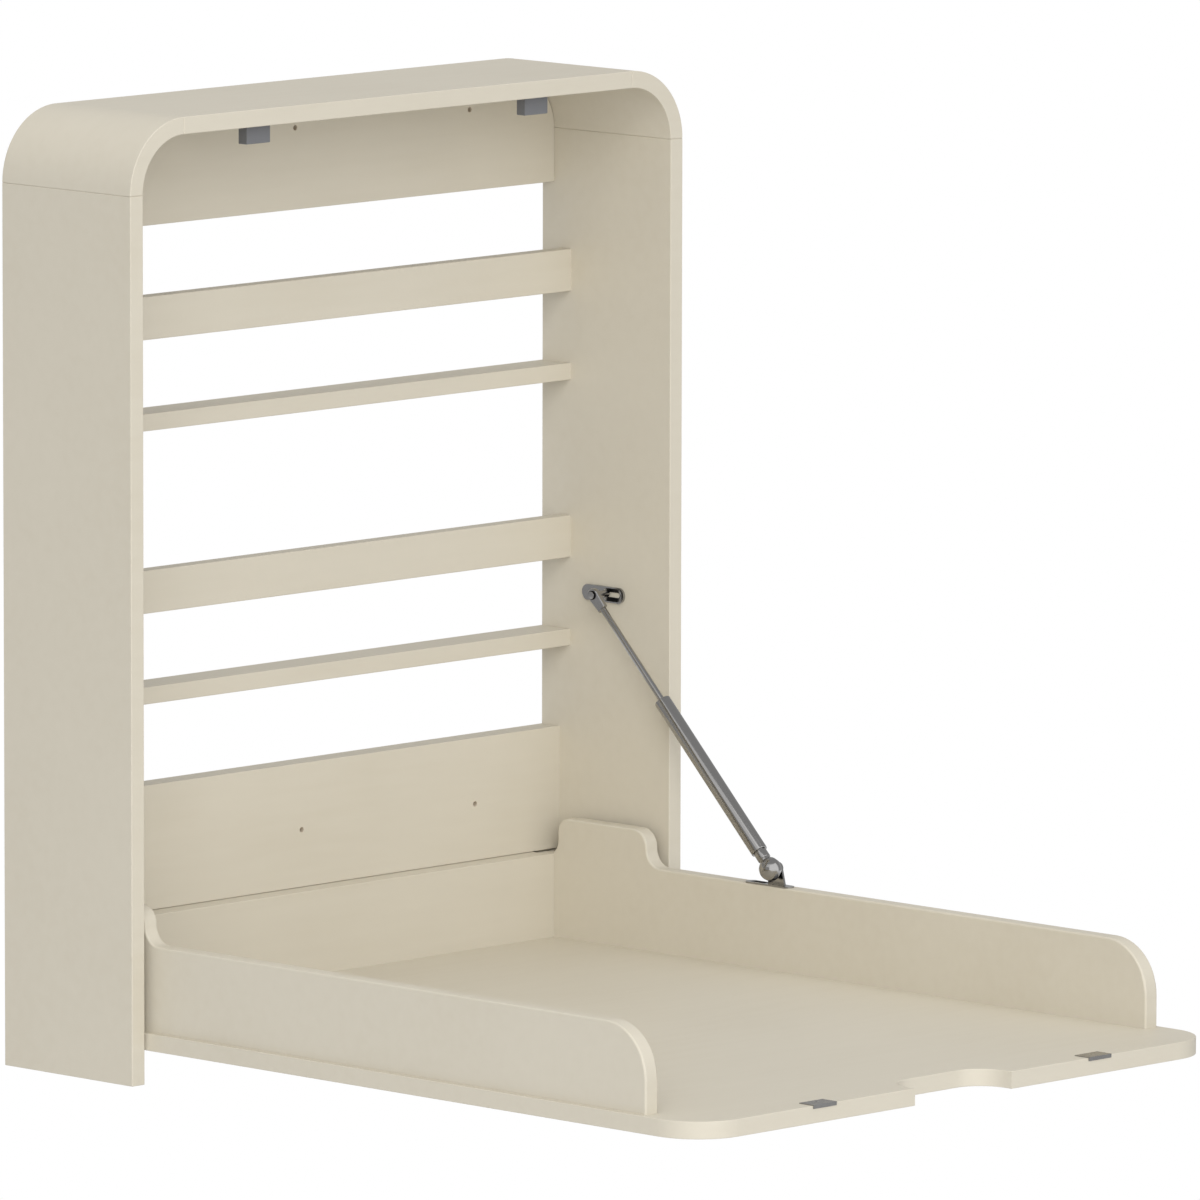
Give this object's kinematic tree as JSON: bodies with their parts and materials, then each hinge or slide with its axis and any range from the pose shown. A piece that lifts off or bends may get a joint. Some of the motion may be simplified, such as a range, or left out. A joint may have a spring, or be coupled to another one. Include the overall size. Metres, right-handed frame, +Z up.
{
  "type": "baby changing station",
  "caption": "Wall-mounted baby changing station: a shallow open cabinet with narrow shelves and a fold-down tray held by a gas strut.",
  "frame": {"origin": "middle of the rectangle of the four outer wall-screw holes, on the wall face", "axes": "+X to the right as seen from the room, +Y into the wall, +Z up; the front is -Y"},
  "size_m": [0.72, 0.8708, 0.885],
  "materials": {
    "cream_board": "cream lacquered board, satin",
    "beech": "plain beech",
    "grey_plastic": "moulded, matt",
    "bush_plastic": "self-lubricating plastic",
    "seal_rubber": "matt",
    "magnet": "ferrite",
    "zinc_steel": "zinc plated",
    "black_steel": "blackened spring steel",
    "strut_grey": "grey, semi-gloss",
    "rod_chrome": "polished"
  },
  "bodies": {
    "cabinet": {"catch_magnets": "magnet", "catch_pole_plates": "zinc_steel", "catch_screws": "zinc_steel", "corner_dowels": "beech", "hinge_pins": "zinc_steel", "hinge_sockets": "bush_plastic", "left_catch_housing": "grey_plastic", "left_side_panel": "cream_board", "left_top_corner": "cream_board", "lower_shelf_board": "cream_board", "lower_shelf_lip": "cream_board", "lower_wall_rail": "cream_board", "rail_dowels": "beech", "right_catch_housing": "grey_plastic", "right_side_panel": "cream_board", "right_top_corner": "cream_board", "shelf_dowels": "beech", "strut_wall_plate": "zinc_steel", "strut_wall_plate_screw": "zinc_steel", "top_panel": "cream_board", "upper_shelf_board": "cream_board", "upper_shelf_lip": "cream_board", "upper_wall_rail": "cream_board"},
    "tray": {"hinge_bushes": "bush_plastic", "left_strike_plate": "zinc_steel", "left_tray_wall": "cream_board", "right_strike_plate": "zinc_steel", "right_tray_wall": "cream_board", "strike_plate_screws": "zinc_steel", "strut_ball_stud": "zinc_steel", "strut_tray_bracket": "zinc_steel", "strut_tray_bracket_screw": "zinc_steel", "tray_back_wall": "cream_board", "tray_base": "cream_board", "tray_dowels": "beech"},
    "strut_cylinder": {"strut_ball_socket": "zinc_steel", "strut_neck": "zinc_steel", "strut_rod_guide": "bush_plastic", "strut_seal": "seal_rubber", "strut_tube": "strut_grey"},
    "strut_piston_rod": {"strut_eye": "zinc_steel", "strut_eye_clip": "black_steel", "strut_eye_pin": "zinc_steel", "strut_piston": "zinc_steel", "strut_piston_ring": "seal_rubber", "strut_rod": "rod_chrome"}
  },
  "joints": [
    {"name": "tray_fold", "type": "hinge", "parent": "cabinet", "child": "tray", "pos_m": [0, -0.102, -0.414], "axis": [-1, 0, 0], "range_deg": [0, 90]},
    {"name": "strut_swing", "type": "hinge", "parent": "tray", "child": "strut_cylinder", "pos_m": [0.3228, -0.3223, -0.3692], "axis": [-1, 0, 0], "range_deg": [-135, 0]},
    {"name": "strut_slide", "type": "slide", "parent": "strut_cylinder", "child": "strut_piston_rod", "axis": [0, 0.701, 0.7132], "range_m": [-0.105, 0]}
  ],
  "couplings": [
    {"joint": "strut_swing", "follows": "tray_fold", "ratio": -1.5},
    {"joint": "strut_slide", "follows": "tray_fold", "m_per_rad": -0.0668}
  ]
}
